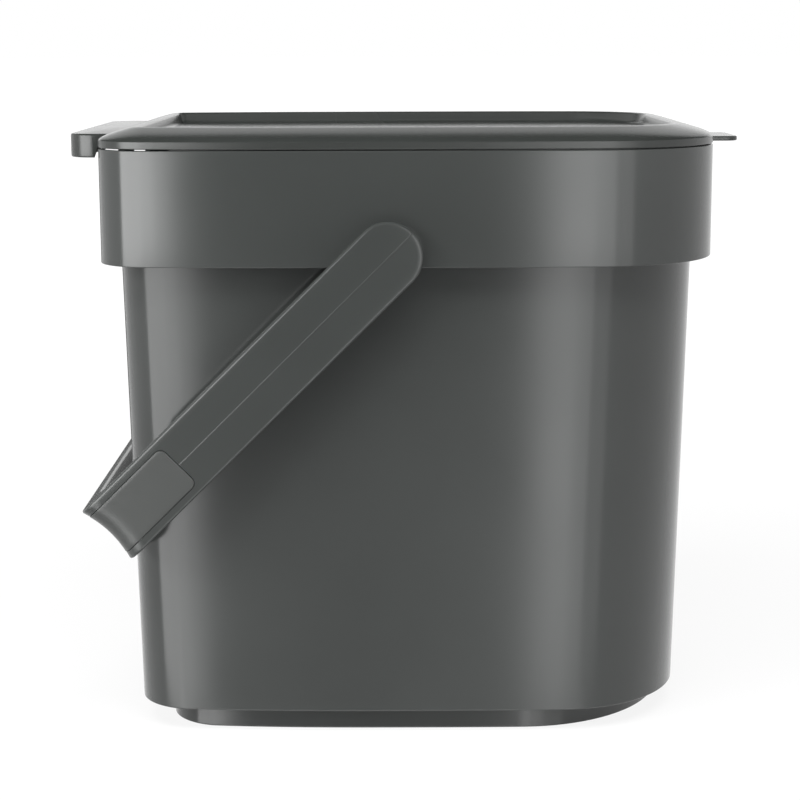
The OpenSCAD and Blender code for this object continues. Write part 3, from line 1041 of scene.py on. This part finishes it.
def black_card(name, corners):
    """A black card that only reflections see, as round the camera in a studio."""
    material, nodes, _ = new_material(name)
    shader = nodes["Principled BSDF"]
    shader.inputs["Base Color"].default_value = (0.004, 0.004, 0.004, 1)
    shader.inputs["Roughness"].default_value = 1.0
    shader.inputs["Specular IOR Level"].default_value = 0.0
    return only_reflected(staged(name, corners, material))


def upright(start, end, low, high):
    """Corners of a card that stands between two points of the plan."""
    return [(*start, low), (*end, low), (*end, high), (*start, high)]


def level(x0, x1, y0, y1, z):
    """Corners of a card that lies flat."""
    return [(x0, y0, z), (x1, y0, z), (x1, y1, z), (x0, y1, z)]


# The cards stand round the camera, in metres. Seen from above, from left to right:
PANEL_END = (-1.52, -0.59)
FLAG_LEFT = (-0.50, -1.51)
FLAG_RIGHT = (0.24, -1.59)
STRIP_END = (0.36, -1.57)
FADE_END = (0.65, -1.50)
RIGHT_END = (1.05, -1.22)
CARD_TOP = 0.62
CARD_SPLIT = -0.1
CARD_FOOT = -0.8
CEILING = 1.7
BACK_Y = 1.9
CARD_ROWS = (("upper", CARD_SPLIT, CARD_TOP, 1.0), ("lower", CARD_FOOT, CARD_SPLIT, 0.82))
MIDDLE = (0, 0, 0.13)

floor = studio_floor(glow=1.1, near_share=0.8, near_r=0.35, far_r=1.2)
floor.visible_glossy = False
world_light(fill=0.3)
black_card("camera_flag", upright(FLAG_LEFT, FLAG_RIGHT, -0.12, 1.2))
bright_card("low_front", upright(FLAG_LEFT, FLAG_RIGHT, -0.4, -0.12), 0.25)
bright_card("lowest_front", upright(FLAG_LEFT, FLAG_RIGHT, -0.9, -0.4), 0.5)
black_card("ceiling_flag", level(-2.2, 2.2, -1.5, BACK_Y, CEILING))
black_card("back_flag", [
    (-2.6, BACK_Y, CEILING), (2.6, BACK_Y, CEILING), (2.6, 2.4, 0.9), (-2.6, 2.4, 0.9),
])
bright_card("backdrop", upright((-2.8, 2.4), (2.8, 2.4), 0.26, 0.9), 0.8)
bright_card("left_panel", upright(FLAG_LEFT, PANEL_END, CARD_SPLIT, CARD_TOP), 8.0)
bright_card("left_low_panel", upright(FLAG_LEFT, PANEL_END, CARD_FOOT, CARD_SPLIT), 4.5)
for row, low, high, share in CARD_ROWS:
    bright_card(row + "_right_strip", upright(FLAG_RIGHT, STRIP_END, low, high), 5.5 * share)
    bright_card(row + "_right_fade", upright(STRIP_END, FADE_END, low, high), 3.4 * share)
    bright_card(row + "_right_panel", upright(FADE_END, RIGHT_END, low, high), 2.1 * share)
bright_card("low_card", level(-0.6, 0.5, -1.0, -0.75, -0.6), 5.0)
bright_card("rear_card", upright((-1.3, 2.35), (0.0, 2.35), -0.6, 0.26), 0.15)
softbox("overhead", (-0.1, -0.75, 1.45), MIDDLE, (1.4, 0.6), 9.5, in_gloss=False)
softbox("left_side", (-1.3, -0.75, 0.75), MIDDLE, (0.6, 0.6), 9.0, in_gloss=False)
softbox("back", (0.0, 1.7, 0.9), MIDDLE, (2.4, 1.2), 0.9)


# ---- Camera ----------------------------------------------------------------------------------
# Fitted to the photograph: the picture is taken as 800 pixels square.

PICTURE_PX = 800
FOCAL_PX = 2000.6
CAMERA_PLACE = (-5.52, -880.7, 283.26)
CAMERA_TILT = 0.17864
CAMERA_ROLL = -0.00305

scene = bpy.context.scene
camera = bpy.data.cameras.new("camera")
camera.sensor_width = 36.0
camera.lens = camera.sensor_width * FOCAL_PX / PICTURE_PX
camera.clip_start, camera.clip_end = 0.05, 100.0
camera_object = bpy.data.objects.new("camera", camera)
turn = Matrix.Rotation(math.pi / 2 - CAMERA_TILT, 4, "X") @ Matrix.Rotation(CAMERA_ROLL, 4, "Z")
camera_object.matrix_world = Matrix.Translation(Vector(CAMERA_PLACE) * MM) @ turn
scene.collection.objects.link(camera_object)
scene.camera = camera_object
scene.view_settings.view_transform = "Standard"
